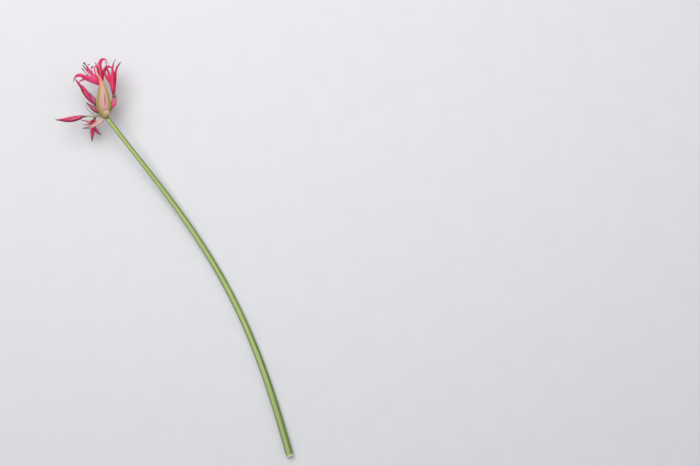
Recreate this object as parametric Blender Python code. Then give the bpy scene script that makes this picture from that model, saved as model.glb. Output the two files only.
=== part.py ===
"""A cut nerine stem, laid on a table: one long green scape, and at its top an umbel of seven
florets and four buds, between two papery spathe valves.

Metres, +Z up. The stem lies along Y with its head at +Y. The origin is under the middle of the
whole stem, on the table. Places in the head are in millimetres from UMBEL, where the pedicels
meet. A floret's own azimuths are in degrees round its axis: 0 is to the right of the way it
points, 90 is down and 270 is up.
"""

import math
import random

import bmesh
import bpy
from mathutils import Matrix, Vector
from mathutils.geometry import interpolate_bezier

MM = 0.001
UP = Vector((0, 0, 1))

# The umbel's place in the frame, and the clear gap between pieces that touch.
UMBEL = Vector((5.71, 235.21, 43.5)) * MM
SEAT_GAP = 0.3 * MM

# A union leaves closed pockets of fewer faces than this, which are filled.
POCKET_FACES = 40

# Scape: the bare flowering stem. It lies flat over LYING_SHARE of its length and rises to UMBEL.
SCAPE_LENGTH = 552 * MM
SCAPE_FOOT_RADIUS = 5.4 * MM
SCAPE_NECK_RADIUS = 3.0 * MM
SCAPE_TAPER_POWER = 0.8
SCAPE_BOW = 34 * MM
BOW_SKEW = 1.1
LYING_SHARE = 0.42
RISE_POWER = 2.0
SCAPE_STATIONS = 20
SCAPE_SIDES = 14

# Dome at the top of the scape, which every pedicel grows from. Its arc stops short of its pole.
DOME_RADIUS = 4.4 * MM
DOME_LENGTH = 6.6 * MM
DOME_ARC = (math.radians(22), math.radians(176))
DOME_STATIONS = 4

# Pedicels, and the ovary that swells at the end of each: shares of its length and of its radius.
PEDICEL_RADIUS = 1.1 * MM
PEDICEL_START_PULL = 0.4
PEDICEL_END_PULL = 0.35
PEDICEL_STATIONS = 7
PEDICEL_SIDES = 7
OVARY_RADIUS = 2.05 * MM
OVARY_LENGTH = 5.4 * MM
OVARY_SWELL = ((0.2, 0.82), (0.45, 1.0), (0.7, 0.98), (0.9, 0.9), (1.0, 0.83))

# Throat: the short tube that holds the six tepals together.
THROAT_RADII = (1.7 * MM, 2.0 * MM)
THROAT_LENGTH = 1.1 * MM
THROAT_SIDES = 12
ROOT_DEPTH = 0.35

# Tepals: narrow straps. The inner three stand a little inside the outer three.
TEPAL_COUNT = 6
TEPAL_WIDTH = 6.4
TEPAL_THICKNESS = 0.62 * MM
TEPAL_STATIONS = 7
OUTER_ROOT_RADIUS = 1.7 * MM
INNER_ROOT_RADIUS = 1.45 * MM
INNER_LEAN = math.radians(-2.5)
ROOT_WIDTH_SHARE = 0.36
TIP_WIDTH_SHARE = 0.1
BELLY_SKEW = 0.85
TIP_BLUNTNESS = 7
CHANNEL_DEPTH = 0.25
CHANNEL_DEEPENING = 0.6
WAVE_HEIGHT = 0.55 * MM
WAVES = 2.5
FLARE_END = 0.75
CURL_START = 0.5
INTEGRATION_STEPS = 60

# Stamens and style: slim threads on a small disc, with a spindle-shaped anther on each stamen.
DISC_RADIUS = 0.85 * MM
DISC_HEIGHT = 0.8 * MM
DISC_SIDES = 8
FILAMENT_RADIUS = 0.33 * MM
FILAMENT_RING = 0.5 * MM
FILAMENT_STATIONS = 6
FILAMENT_SIDES = 3
STYLE_REACH = 1.06
ANTHER_LENGTH = 4.0 * MM
ANTHER_RADIUS = 0.6 * MM
ANTHER_TURN = 0.3

# Buds: closed spindles, ridged where their three outer tepals meet.
BUD_SIDES = 10
BUD_STATIONS = 9
BUD_ROOT_SHARE = 0.42
BUD_BELLY_SKEW = 0.8
BUD_RIDGES = 3
BUD_RIDGE_HEIGHT = 0.07

# Spathe valves: two boat-shaped bracts that clasp the neck.
VALVE_THICKNESS = 0.7 * MM
VALVE_TIP_SHARE = 0.04

FLORETS = {
    "floret_1": dict(
        root=(0.40, 0.85, 0.35), seat=(15.1, 41.7, 3.5), axis=(-0.37, 0.92, 0.05), seed=11,
        base=20, flare=19, curl=90, length=45, width=8.2, sag=(0.11, 0.08, 0.03), stamen=0.73,
        own={
            0: dict(azimuth=-56, flare=0, curl=90, length=43.5, bend=-2.2, twist=27),
            1: dict(azimuth=60, flare=17, curl=60, length=42, bend=0, twist=-46),
            2: dict(azimuth=192, flare=-8, curl=68, length=33, bend=-0.9, twist=20),
            3: dict(azimuth=210, flare=-11, curl=118, length=48, twist=26),
            4: dict(azimuth=246, flare=10, curl=60, length=36),
            5: dict(azimuth=10, flare=14, curl=50, length=34),
        },
    ),
    "floret_2": dict(
        root=(0.28, 0.92, -0.28), seat=(12.0, 38.8, -10.0), axis=(0.32, 0.945, -0.06), seed=12,
        base=6.5, flare=7, curl=40, length=38, loose=0.5, stamen=0.45, spread=0.01, closed=True,
        own={
            0: dict(azimuth=-26, flare=-10, curl=166, length=57, bend=-4, twist=-54),
            1: dict(azimuth=4, flare=29, curl=185, length=49, bend=-2.4, twist=-40),
            2: dict(azimuth=40, flare=14, curl=10, length=33),
            3: dict(azimuth=178, flare=-2, curl=2, length=40),
            4: dict(azimuth=220, flare=-16, curl=40, length=38, bend=1.1),
            5: dict(azimuth=7, flare=38, curl=-60, length=41, bend=-3, twist=26),
        },
    ),
    "floret_3": dict(
        root=(0.70, 0.66, -0.28), seat=(23.5, 23.0, -2.0), axis=(0.45, 0.892, 0.04), seed=13,
        base=7, flare=6, curl=22, length=40, width=7.2, loose=0.5, stamen=0.45, spread=0.01,
        closed=True,
        own={
            0: dict(azimuth=22, flare=-5, curl=37, length=48.5, twist=30),
            2: dict(azimuth=122, flare=0, curl=4, length=29),
            3: dict(azimuth=209, flare=34, curl=-24, length=38, bend=-1.9, twist=40),
            4: dict(azimuth=231, flare=21, curl=-5, length=41.5, bend=3),
            5: dict(azimuth=-60, flare=-8, curl=70, length=55, bend=-1.3, twist=60),
        },
    ),
    "floret_4": dict(
        root=(-0.22, 0.96, 0.06), seat=(-7.1, 25.5, -6.0), axis=(-0.17, 0.985, -0.03), seed=14,
        base=7.5, flare=0, curl=4, length=34, width=7.8, loose=0.4, stamen=0.42, spread=0.01,
        closed=True,
        own={
            0: dict(azimuth=-2, flare=-8, curl=-6, length=31),
            2: dict(azimuth=122, flare=-2, length=28),
            3: dict(azimuth=181, flare=-3, length=27),
            4: dict(azimuth=196, flare=-19, curl=10, length=45, bend=-0.6, twist=-64),
            5: dict(azimuth=320, flare=-5, curl=0, length=31),
        },
    ),
    "floret_5": dict(
        root=(-0.60, 0.22, -0.76), seat=(-17.5, 6.7, -11.0), axis=(-0.56, -0.32, -0.765), seed=15,
        base=9, flare=44, curl=70, length=36, sag=(0, 0, 0.12), stamen=0.42, spread=0.03,
        own={
            0: dict(azimuth=12, flare=56, curl=-5, length=26, bend=-4, twist=40),
            1: dict(azimuth=56, flare=12, curl=20, length=31),
            2: dict(azimuth=118, flare=12, curl=20, length=34),
            3: dict(azimuth=192, flare=30, length=30),
            4: dict(azimuth=224, flare=34, curl=7, length=34),
            5: dict(azimuth=330, flare=33, curl=-12, length=23, twist=44),
        },
    ),
    "floret_6": dict(
        root=(0.60, 0.46, -0.66), seat=(9.8, 13.0, -12.2), axis=(-0.05, 0.50, -0.866), seed=16,
        base=6.5, flare=0, curl=8, length=31, loose=0.4, spread=0.01, closed=True,
    ),
    "floret_7": dict(
        root=(0.05, 0.62, -0.78), seat=(2.5, 18.0, -12.4), axis=(0.08, 0.64, -0.765), seed=19,
        base=6.5, flare=0, curl=8, length=30.5, loose=0.4, spread=0.01, closed=True,
    ),
}

BUDS = {
    "bud_1": dict(
        root=(-0.60, 0.76, 0.24), seat=(-7.4, 10.2, 1.6), axis=(-0.37, 0.925, 0.04),
        length=23, girth=6.2, size=0.75,
    ),
    "bud_2": dict(
        root=(-0.90, 0.42, 0.05), seat=(-29.5, 16.0, -2.0), axis=(-0.93, 0.37, -0.03),
        length=40, girth=8.2, bend=(-0.8, -2.0, 0), size=0.85,
    ),
    "bud_3": dict(
        root=(0.92, 0.34, 0.20), seat=(12.8, 7.0, 2.2), axis=(0.74, 0.67, 0.05),
        length=19.8, girth=7.4, size=0.7,
    ),
    "bud_4": dict(
        root=(-0.10, 0.84, 0.53), seat=(-4.2, 20.8, 3.2), axis=(-0.02, 1.0, 0.02),
        length=20, girth=6.6, size=0.85,
    ),
}

VALVES = {
    "spathe_valve_upper": dict(
        spine=[(-0.4, -1.8, 5.0), (2.0, 18.3, 15.0), (22.6, 37.5, 14.0), (18.4, 62.9, 10.5)],
        width=22.0, base=0.42, belly=0.34, point=1.6, crease=0.5,
        wrap_at_base=62, wrap_at_tip=40, rows=12, columns=6,
    ),
    "spathe_valve_lower": dict(
        spine=[(-4.6, -1.8, 0.6), (-12.7, -1.1, 4.4), (-25.7, -5.8, 2.6), (-39.6, 2.8, -4.0)],
        width=6.8, base=0.5, belly=0.33, point=0.9, crease=0.5,
        wrap_at_base=50, wrap_at_tip=35, rows=10, columns=4,
    ),
}


def clear_scene():
    for obj in list(bpy.data.objects):
        bpy.data.objects.remove(obj)


def finish(name, colour, roughness):
    """A plain Principled finish for one kind of tissue."""
    made = bpy.data.materials.new(name)
    made.use_nodes = True
    shader = made.node_tree.nodes["Principled BSDF"]
    shader.inputs["Base Color"].default_value = (*colour, 1)
    shader.inputs["Roughness"].default_value = roughness
    shader.inputs["Metallic"].default_value = 0
    return made


def finished(name, bm, material):
    """Turns a bmesh into a named, smooth-shaded object with its material."""
    bmesh.ops.recalc_face_normals(bm, faces=bm.faces)
    mesh = bpy.data.meshes.new(name)
    bm.to_mesh(mesh)
    bm.free()
    mesh.shade_smooth()
    mesh.set_sharp_from_angle(angle=math.radians(40))
    mesh.materials.append(material)
    obj = bpy.data.objects.new(name, mesh)
    bpy.context.scene.collection.objects.link(obj)
    return obj


def fused(body, pieces):
    """Joins pieces to body by one Boolean union on a collection, and removes the pieces."""
    helpers = bpy.data.collections.new("helpers")
    bpy.context.scene.collection.children.link(helpers)
    for piece in pieces:
        bpy.context.scene.collection.objects.unlink(piece)
        helpers.objects.link(piece)
    union = body.modifiers.new("union", "BOOLEAN")
    union.operation = "UNION"
    union.operand_type = "COLLECTION"
    union.collection = helpers
    union.solver = "EXACT"
    bpy.context.view_layer.update()
    graph = bpy.context.evaluated_depsgraph_get()
    joined = bpy.data.meshes.new_from_object(body.evaluated_get(graph))
    body.modifiers.remove(union)
    body.data = without_pockets(joined)
    for piece in pieces:
        bpy.data.objects.remove(piece)
    bpy.data.collections.remove(helpers)
    return body


def patches(faces, across):
    """The parts of faces that hang together by the edges that across says yes to."""
    left = set(faces)
    while left:
        front = [left.pop()]
        patch = set(front)
        while front:
            for edge in front.pop().edges:
                fresh = left.intersection(edge.link_faces)
                if across(edge):
                    left -= fresh
                    patch |= fresh
                    front.extend(fresh)
        yield patch


def without_pockets(mesh):
    """Fills the tiny closed pockets that a union can leave where thin blades lie on each other."""
    bm = bmesh.new()
    bm.from_mesh(mesh)
    skins = list(patches(bm.faces, lambda edge: len(edge.link_faces) == 2))
    small = [face for skin in skins if len(skin) < POCKET_FACES for face in skin]
    for pocket in list(patches(small, lambda edge: True)):
        edges = {edge for face in pocket for edge in face.edges}
        if all(len(set(edge.link_faces) - pocket) in (0, 2) for edge in edges):
            bmesh.ops.delete(bm, geom=list(pocket), context="FACES")
    bm.to_mesh(mesh)
    bm.free()
    return mesh


def sweep(path, radii, sides):
    """A closed tube of round stations along path, turned with the path by the least rotation."""
    bm = bmesh.new()
    bmesh.ops.create_circle(bm, segments=sides, radius=1, cap_ends=True)
    cap = next(iter(bm.faces))
    around = [path[0], *path, path[-1]]
    turn = (path[1] - path[0]).to_track_quat("Z", "Y")
    placed = Matrix.Identity(4)
    for i, (point, radius) in enumerate(zip(path, radii)):
        along = (around[i + 2] - around[i]).normalized()
        turn = (turn @ UP).rotation_difference(along) @ turn
        station = Matrix.LocRotScale(point, turn, Vector((radius, radius, radius)))
        if i:
            grown = bmesh.ops.extrude_face_region(bm, geom=[cap, *cap.edges])["geom"]
            cap = next(part for part in grown if isinstance(part, bmesh.types.BMFace))
        bmesh.ops.transform(bm, matrix=station @ placed.inverted(), verts=cap.verts)
        placed = station
    return bm


def smooth_step(low, high, x):
    """0 below low, 1 above high, and a smooth rise between them."""
    t = min(1, max(0, (x - low) / (high - low)))
    return t * t * (3 - 2 * t)


def in_head(place):
    """A place in the frame from its millimetres from UMBEL."""
    return UMBEL + Vector(place) * MM


def scape_radius(u):
    return SCAPE_NECK_RADIUS + (SCAPE_FOOT_RADIUS - SCAPE_NECK_RADIUS) * u**SCAPE_TAPER_POWER


def scape_point(u):
    """Centre of the scape at share u of its length, from the umbel at 0 to the cut foot at 1."""
    bow = SCAPE_BOW * math.sin(math.pi * u**BOW_SKEW)
    raised = max(0, 1 - u / (1 - LYING_SHARE)) ** RISE_POWER
    height = scape_radius(u) + (UMBEL.z - SCAPE_NECK_RADIUS) * raised
    return Vector((UMBEL.x + bow, UMBEL.y - SCAPE_LENGTH * u, height))


def make_scape(material):
    """The bare stem: cut square at the foot, swelling at the top into the dome of the umbel."""
    shares = [1 - i / SCAPE_STATIONS for i in range(SCAPE_STATIONS)]
    path = [scape_point(u) for u in shares]
    radii = [scape_radius(u) for u in shares]
    axis = (UMBEL - path[-1]).normalized()
    first, last = DOME_ARC
    for i in range(DOME_STATIONS + 1):
        angle = first + (last - first) * i / DOME_STATIONS
        path.append(UMBEL - axis * DOME_LENGTH / 2 * math.cos(angle))
        radii.append(DOME_RADIUS * math.sin(angle))
    return finished("scape", sweep(path, radii, SCAPE_SIDES), material)


def make_pedicel(name, bloom, material):
    """A bloom's stalk, from the dome out to its ovary."""
    root = Vector(bloom["root"]).normalized()
    axis = Vector(bloom["axis"]).normalized()
    size = bloom.get("size", 1)
    seat = in_head(bloom["seat"])
    start = UMBEL + root * (DOME_RADIUS + SEAT_GAP)
    ovary = seat - axis * OVARY_LENGTH * size
    reach = (ovary - start).length
    leaving = start + root * reach * PEDICEL_START_PULL
    arriving = ovary - axis * reach * PEDICEL_END_PULL
    path = interpolate_bezier(start, leaving, arriving, ovary, PEDICEL_STATIONS)
    radii = [PEDICEL_RADIUS * size] * PEDICEL_STATIONS
    for share, width in OVARY_SWELL:
        path.append(ovary.lerp(seat, share))
        radii.append(OVARY_RADIUS * width * size)
    return finished(name, sweep(path, radii, PEDICEL_SIDES), material)


def bloom_axes(bloom):
    """A floret's own axes: to its right, down, and along it."""
    along = Vector(bloom["axis"]).normalized()
    right = along.cross(UP).normalized()
    return right, along.cross(right), along


def tepal_habits(bloom):
    """How each tepal of a floret grows: a seeded draw, and over it what is its own."""
    draw = random.Random(bloom["seed"])
    loose = bloom.get("loose", 1)
    habits = []
    for k in range(TEPAL_COUNT):
        habit = {
            "inner": k % 2 == 1,
            "azimuth": math.radians(60 * k + loose * draw.uniform(-7, 7)),
            "length": bloom["length"] * MM * draw.uniform(0.94, 1.04),
            "flare": math.radians(bloom["flare"] + loose * draw.uniform(-5, 5)),
            "curl": math.radians(bloom["curl"] * draw.uniform(0.6, 1.15)),
            "bend": loose * draw.uniform(-3.0, 3.0) * MM,
            "twist": math.radians(loose * draw.uniform(-14, 14)),
            "phase": draw.uniform(0, 2 * math.pi),
            "wave": loose * WAVE_HEIGHT,
        }
        for key, value in bloom.get("own", {}).get(k, {}).items():
            habit[key] = value * MM if key in ("length", "bend") else math.radians(value)
        habits.append(habit)
    return habits


def tepal_half_width(bloom, s):
    """Half of a tepal's width at share s of its length."""
    belly = ROOT_WIDTH_SHARE + (1 - ROOT_WIDTH_SHARE) * math.sin(math.pi * s**BELLY_SKEW)
    widest = bloom.get("width", TEPAL_WIDTH)
    return widest / 2 * MM * max(TIP_WIDTH_SHARE, belly * math.sqrt(max(0, 1 - s**TIP_BLUNTNESS)))


def tepal_lean(habit, base, s):
    """Angle between the floret's axis and the tepal at share s of its length."""
    lean = base + habit["flare"] * smooth_step(0, FLARE_END, s)
    lean += habit["curl"] * smooth_step(CURL_START, 1, s)
    return lean + (INNER_LEAN if habit["inner"] else 0)


def tepal_line(habit, base):
    """Distances out from the axis and along it, at even steps of a tepal's length."""
    out = INNER_ROOT_RADIUS if habit["inner"] else OUTER_ROOT_RADIUS
    along = SEAT_GAP + THROAT_LENGTH * ROOT_DEPTH
    line = [(out, along)]
    step = habit["length"] / INTEGRATION_STEPS
    for i in range(INTEGRATION_STEPS):
        lean = tepal_lean(habit, base, (i + 0.5) / INTEGRATION_STEPS)
        out += math.sin(lean) * step
        along += math.cos(lean) * step
        line.append((out, along))
    return line


def tepal_point(bloom, axes, habit, line, s, v):
    """A point of a tepal's middle surface at share s of its length and v (-1 to 1) across it."""
    right, down, along = axes
    outward = right * math.cos(habit["azimuth"]) + down * math.sin(habit["azimuth"])
    sideways = along.cross(outward)
    place = s * INTEGRATION_STEPS
    i = min(int(place), INTEGRATION_STEPS - 1)
    out = line[i][0] + (line[i + 1][0] - line[i][0]) * (place - i)
    rise = line[i][1] + (line[i + 1][1] - line[i][1]) * (place - i)
    lean = tepal_lean(habit, math.radians(bloom["base"]), s)
    inward = along * math.sin(lean) - outward * math.cos(lean)
    twist = habit["twist"] * s
    side = sideways * math.cos(twist) + inward * math.sin(twist)
    lift = inward * math.cos(twist) - sideways * math.sin(twist)
    half = tepal_half_width(bloom, s)
    wave = habit["wave"] * smooth_step(0.1, 0.4, s) * math.sqrt(1 - s)
    ripple = wave * math.sin(2 * math.pi * WAVES * s + habit["phase"] + (0 if v > 0 else 1.9))
    channel = CHANNEL_DEPTH * half * (1 + CHANNEL_DEEPENING * s)
    centre = in_head(bloom["seat"]) + outward * out + along * rise + sideways * habit["bend"] * s * s
    return centre + side * half * v + lift * (channel + ripple) * v * v


def make_tepals(name, bloom, material):
    """A floret's six tepals, their roots sunk in one short throat."""
    axes = bloom_axes(bloom)
    foot = in_head(bloom["seat"]) + axes[2] * SEAT_GAP
    tube = sweep([foot, foot + axes[2] * THROAT_LENGTH], THROAT_RADII, THROAT_SIDES)
    throat = finished(name, tube, material)
    blades = []
    for k, habit in enumerate(tepal_habits(bloom)):
        line = tepal_line(habit, math.radians(bloom["base"]))
        bm = bmesh.new()
        bmesh.ops.create_grid(bm, x_segments=2, y_segments=TEPAL_STATIONS, size=1)
        for vert in bm.verts:
            vert.co = tepal_point(bloom, axes, habit, line, (vert.co.y + 1) / 2, vert.co.x)
        bmesh.ops.triangulate(bm, faces=bm.faces)
        bmesh.ops.recalc_face_normals(bm, faces=bm.faces)
        bmesh.ops.solidify(bm, geom=bm.faces[:], thickness=TEPAL_THICKNESS)
        blades.append(finished(f"{name}_blade_{k}", bm, material))
    return fused(throat, blades)


def thread_path(bloom, axes, foot, k):
    """A filament's centre line, out of the throat and away to its own side; the last is the style."""
    right, down, along = axes
    draw = random.Random(bloom["seed"] * 10 + k)
    length = bloom["length"] * MM * bloom.get("stamen", 0.86) * draw.uniform(0.86, 1.04)
    spread = bloom.get("spread", 0.13) * draw.uniform(0.7, 1.2)
    angle = math.radians(60 * k + 30)
    outward = right * math.cos(angle) + down * math.sin(angle)
    if k == TEPAL_COUNT:
        length *= STYLE_REACH
        outward = Vector((0, 0, 0))
    sag = Vector(bloom.get("sag", (0, 0, 0)))
    path = []
    for i in range(FILAMENT_STATIONS):
        s = i / (FILAMENT_STATIONS - 1)
        aside = outward * (FILAMENT_RING + length * spread * s**1.4)
        path.append(foot + along * length * s + aside + sag * length * s**2.4)
    return path


def make_stamens(name, bloom, material):
    """Six filaments with their anthers, and the style, on one small disc in the throat."""
    axes = bloom_axes(bloom)
    along = axes[2]
    seat = in_head(bloom["seat"]) + along * (2 * SEAT_GAP + THROAT_LENGTH)
    plate = sweep([seat, seat + along * DISC_HEIGHT], [DISC_RADIUS, DISC_RADIUS], DISC_SIDES)
    disc = finished(name, plate, material)
    threads = []
    for k in range(TEPAL_COUNT + 1):
        path = thread_path(bloom, axes, seat, k)
        path[0] += along * DISC_HEIGHT / 4
        radii = [FILAMENT_RADIUS] * FILAMENT_STATIONS
        if k < TEPAL_COUNT:
            lie = (path[-1] - path[-2]).normalized()
            if not bloom.get("closed"):
                lie = (lie + lie.cross(axes[k % 2]) * (ANTHER_TURN if k % 3 else -ANTHER_TURN)).normalized()
            path += [path[-1] + lie * ANTHER_LENGTH / 2, path[-1] + lie * ANTHER_LENGTH]
            radii += [ANTHER_RADIUS, ANTHER_RADIUS * 0.4]
        threads.append(finished(f"{name}_{k}", sweep(path, radii, FILAMENT_SIDES), material))
    return fused(disc, threads)


def make_bud(name, bloom, material):
    """A closed bud: a slightly curved spindle, ridged where its outer tepals meet."""
    along = Vector(bloom["axis"]).normalized()
    right = along.cross(UP).normalized()
    seat = in_head(bloom["seat"]) + along * SEAT_GAP
    bend = Vector(bloom.get("bend", (0, 0, 0))) * MM
    bm = bmesh.new()
    middle = Matrix.Translation((0, 0, 0.5))
    bmesh.ops.create_cone(
        bm, cap_ends=True, segments=BUD_SIDES, radius1=1, radius2=1, depth=1, matrix=middle
    )
    uprights = [edge for edge in bm.edges if abs(edge.verts[0].co.z - edge.verts[1].co.z) > 0.5]
    bmesh.ops.subdivide_edges(bm, edges=uprights, cuts=BUD_STATIONS - 2)
    for vert in bm.verts:
        s = vert.co.z
        angle = math.atan2(vert.co.y, vert.co.x)
        belly = math.sin(math.pi * min(1, s / 0.86) ** BUD_BELLY_SKEW)
        girth = (BUD_ROOT_SHARE + (1 - BUD_ROOT_SHARE) * belly) * (1 - s**6) ** 0.7
        ridge = 1 + BUD_RIDGE_HEIGHT * math.cos(BUD_RIDGES * angle) * math.sin(math.pi * s)
        radius = bloom["girth"] / 2 * MM * max(TIP_WIDTH_SHARE, girth) * ridge
        side = right * math.cos(angle) + along.cross(right) * math.sin(angle)
        spine = seat + along * bloom["length"] * MM * s + bend * math.sin(math.pi * s)
        vert.co = spine + side * radius
    bmesh.ops.triangulate(bm, faces=bm.faces)
    return finished(name, bm, material)


def valve_share(valve, s):
    """Width of a valve at share s of its length, as a share of its widest."""
    if s <= valve["belly"]:
        return valve["base"] + (1 - valve["base"]) * math.sin(math.pi / 2 * s / valve["belly"])
    t = (s - valve["belly"]) / (1 - valve["belly"])
    return max(VALVE_TIP_SHARE, (1 - t) ** valve["point"] * (1 + valve["point"] * t * 0.45))


def curve_point(spine, s):
    """A point at share s of the smooth curve that four spine points pull."""
    a, b, c, d = spine
    r = 1 - s
    return a * r**3 + b * 3 * r * r * s + c * 3 * r * s * s + d * s**3


def make_valve(name, valve, material):
    """One spathe valve: an arc across its spine, hollow below, drawn out to a long point."""
    spine = [in_head(point) for point in valve["spine"]]
    bm = bmesh.new()
    bmesh.ops.create_grid(bm, x_segments=valve["columns"], y_segments=valve["rows"], size=1)
    for vert in bm.verts:
        s, v = (vert.co.y + 1) / 2, vert.co.x
        along = curve_point(spine, min(1, s + 0.01)) - curve_point(spine, max(0, s - 0.01))
        side = UP.cross(along).normalized()
        below = side.cross(along).normalized()
        wrap = valve["wrap_at_base"] + (valve["wrap_at_tip"] - valve["wrap_at_base"]) * s**0.6
        wrap = math.radians(wrap)
        radius = valve["width"] / 2 * MM * valve_share(valve, s) / math.sin(wrap)
        crease = valve["crease"] * MM * math.sin(math.pi * s) * math.cos(3 * math.pi * v / 2)
        drop = radius * (1 - math.cos(wrap * v)) + crease
        vert.co = curve_point(spine, s) + side * radius * math.sin(wrap * v) + below * drop
    bmesh.ops.triangulate(bm, faces=bm.faces)
    bmesh.ops.recalc_face_normals(bm, faces=bm.faces)
    bmesh.ops.solidify(bm, geom=bm.faces[:], thickness=VALVE_THICKNESS)
    return finished(name, bm, material)


def main():
    clear_scene()
    stem_green = finish("stem_green", (0.20, 0.36, 0.08), 0.45)
    pedicel_green = finish("pedicel_green", (0.30, 0.40, 0.14), 0.5)
    tepal_pink = finish("tepal_pink", (0.76, 0.04, 0.12), 0.42)
    bud_pink = finish("bud_pink", (0.62, 0.03, 0.12), 0.4)
    stamen_pink = finish("stamen_pink", (0.72, 0.16, 0.30), 0.5)
    spathe_buff = finish("spathe_buff", (0.62, 0.47, 0.32), 0.65)

    make_scape(stem_green)
    for name, valve in VALVES.items():
        make_valve(name, valve, spathe_buff)
    for name, bloom in FLORETS.items():
        make_pedicel(f"{name}_pedicel", bloom, pedicel_green)
        make_tepals(f"{name}_tepals", bloom, tepal_pink)
        make_stamens(f"{name}_stamens", bloom, stamen_pink)
    for name, bloom in BUDS.items():
        make_pedicel(f"{name}_pedicel", bloom, pedicel_green)
        make_bud(f"{name}_tepals", bloom, bud_pink)


main()
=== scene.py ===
import math
import random

import bmesh
import bpy
from mathutils import Matrix, Vector
from mathutils.geometry import interpolate_bezier


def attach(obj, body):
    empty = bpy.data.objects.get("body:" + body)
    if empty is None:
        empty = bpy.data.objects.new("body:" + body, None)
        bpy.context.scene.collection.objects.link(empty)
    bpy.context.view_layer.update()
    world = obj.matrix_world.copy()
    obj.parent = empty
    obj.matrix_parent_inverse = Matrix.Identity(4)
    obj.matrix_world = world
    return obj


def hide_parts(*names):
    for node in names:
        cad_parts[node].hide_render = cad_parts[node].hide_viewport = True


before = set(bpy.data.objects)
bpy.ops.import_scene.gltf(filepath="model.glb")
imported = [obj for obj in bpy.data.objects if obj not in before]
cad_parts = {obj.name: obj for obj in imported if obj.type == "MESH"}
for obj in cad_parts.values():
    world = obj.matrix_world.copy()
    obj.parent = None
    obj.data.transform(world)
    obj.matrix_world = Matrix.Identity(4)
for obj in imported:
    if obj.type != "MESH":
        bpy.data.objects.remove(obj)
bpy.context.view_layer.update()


# Scape: the one bare flowering stem, of solid juicy tissue with faint ribs and a thin waxy bloom.
# It was cut square from its bulb, so its pale fibres show at the foot. At the top it swells into
# the dome that every pedicel grows from.
MM = 0.001
UP = Vector((0, 0, 1))
UMBEL = Vector((5.71, 235.21, 43.5)) * MM
SCAPE_LENGTH = 552 * MM
FOOT_RADIUS = 5.4 * MM
NECK_RADIUS = 3.0 * MM
SCAPE_BOW = 34 * MM
BOW_SKEW = 1.1
TAPER_POWER = 0.8
LYING_SHARE = 0.42
RISE_POWER = 2
SCAPE_STEPS = 130
SCAPE_SIDES = 42
SCAPE_RIBS = 7
SCAPE_RIB_HEIGHT = 0.008
# The way the scape's painted highlight faces: points that face this way are painted paler, and flanks
# turned from it are painted darker as shade.
HIGHLIGHT_FACING = Vector((-0.2, 0, 0.98))
DOME_RADIUS = 4.4 * MM
DOME_LENGTH = 6.6 * MM

# The dome follows an ellipse from DOME_START degrees, over DOME_ARC degrees, in DOME_STEPS steps.
DOME_START = 22
DOME_ARC = 156
DOME_STEPS = 12

# The cut face: millimetres in from the very end, and share of the foot's radius, from its middle out.
CUT_SHAPE = ((0.7, 0.02), (0.65, 0.35), (0.4, 0.7), (0.08, 0.92), (0.02, 0.975), (0.3, 1))

# What of the scape counts as that face: nothing deeper than this, or past this share of its length.
CUT_DEPTH = 0.75 * MM
CUT_SHARE = 0.0065


def shade(red, green, blue):
    """A colour as it shows on a screen, 0 to 255, in the linear values that a shader takes."""
    return (*((part / 255) ** 2.2 for part in (red, green, blue)), 1)


def node(tree, kind, inputs, **settings):
    """Adds a shader node. Each input is a value, or another node's socket that feeds it."""
    made = tree.nodes.new(f"ShaderNode{kind}")
    for name, value in settings.items():
        setattr(made, name, value)
    for name, value in inputs.items():
        if isinstance(value, bpy.types.NodeSocket):
            tree.links.new(value, made.inputs[name])
        else:
            made.inputs[name].default_value = value
    return made


def maths(tree, operation, *values):
    return node(tree, "Math", dict(enumerate(values)), operation=operation).outputs[0]


def rise(tree, value, low, high, top=1.0):
    """0 where value is below low, top where it is above high, and a smooth rise between them."""
    span = {"Value": value, "From Min": low, "From Max": high, "To Min": 0.0, "To Max": top}
    return node(tree, "MapRange", span, interpolation_type="SMOOTHSTEP").outputs[0]


def mixed(tree, factor, first, second, how="MIX"):
    """Lays the second colour over the first by factor."""
    sockets = {0: factor, 6: first, 7: second}
    return node(tree, "Mix", sockets, data_type="RGBA", blend_type=how).outputs[2]


def ramp(tree, factor, *stops):
    """A run of colours, each given with its place from 0 to 1."""
    made = node(tree, "ValToRGB", {"Fac": factor})
    band = made.color_ramp.elements
    band[0].position, band[0].color = stops[0]
    band[1].position, band[1].color = stops[-1]
    for place, colour in stops[1:-1]:
        band.new(place).color = colour
    return made.outputs["Color"]


def noise(tree, grain, counts, detail=2.0):
    """Soft noise with about so many grains in a metre round, across and along the piece."""
    placed = node(tree, "Mapping", {"Vector": grain, "Scale": counts}).outputs["Vector"]
    return node(tree, "TexNoise", {"Vector": placed, "Scale": 1.0, "Detail": detail}).outputs["Fac"]


def tissue(name):
    """A new material with its tree, and the two maps that a piece carries in its vertices.

    grain is the place in metres on the piece laid out straight; leaf holds how far across it is,
    its share of the length, and which side or part it is."""
    made = bpy.data.materials.new(name)
    made.use_nodes = True
    tree = made.node_tree
    grain = node(tree, "Attribute", {}, attribute_name="grain").outputs["Vector"]
    leaf = node(tree, "Attribute", {}, attribute_name="leaf").outputs["Vector"]
    return made, tree, grain, node(tree, "SeparateXYZ", {0: leaf}).outputs


def dress(tree, colour, roughness, height, depth, fixed):
    """Feeds a tree's Principled shader, with a bump of that depth, and sets its fixed values."""
    shader = tree.nodes["Principled BSDF"]
    bump = node(tree, "Bump", {"Height": height, "Distance": depth, "Strength": 1.0})
    tree.links.new(colour, shader.inputs["Base Color"])
    tree.links.new(roughness, shader.inputs["Roughness"])
    tree.links.new(bump.outputs["Normal"], shader.inputs["Normal"])
    for name, value in fixed.items():
        shader.inputs[name].default_value = value


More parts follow.
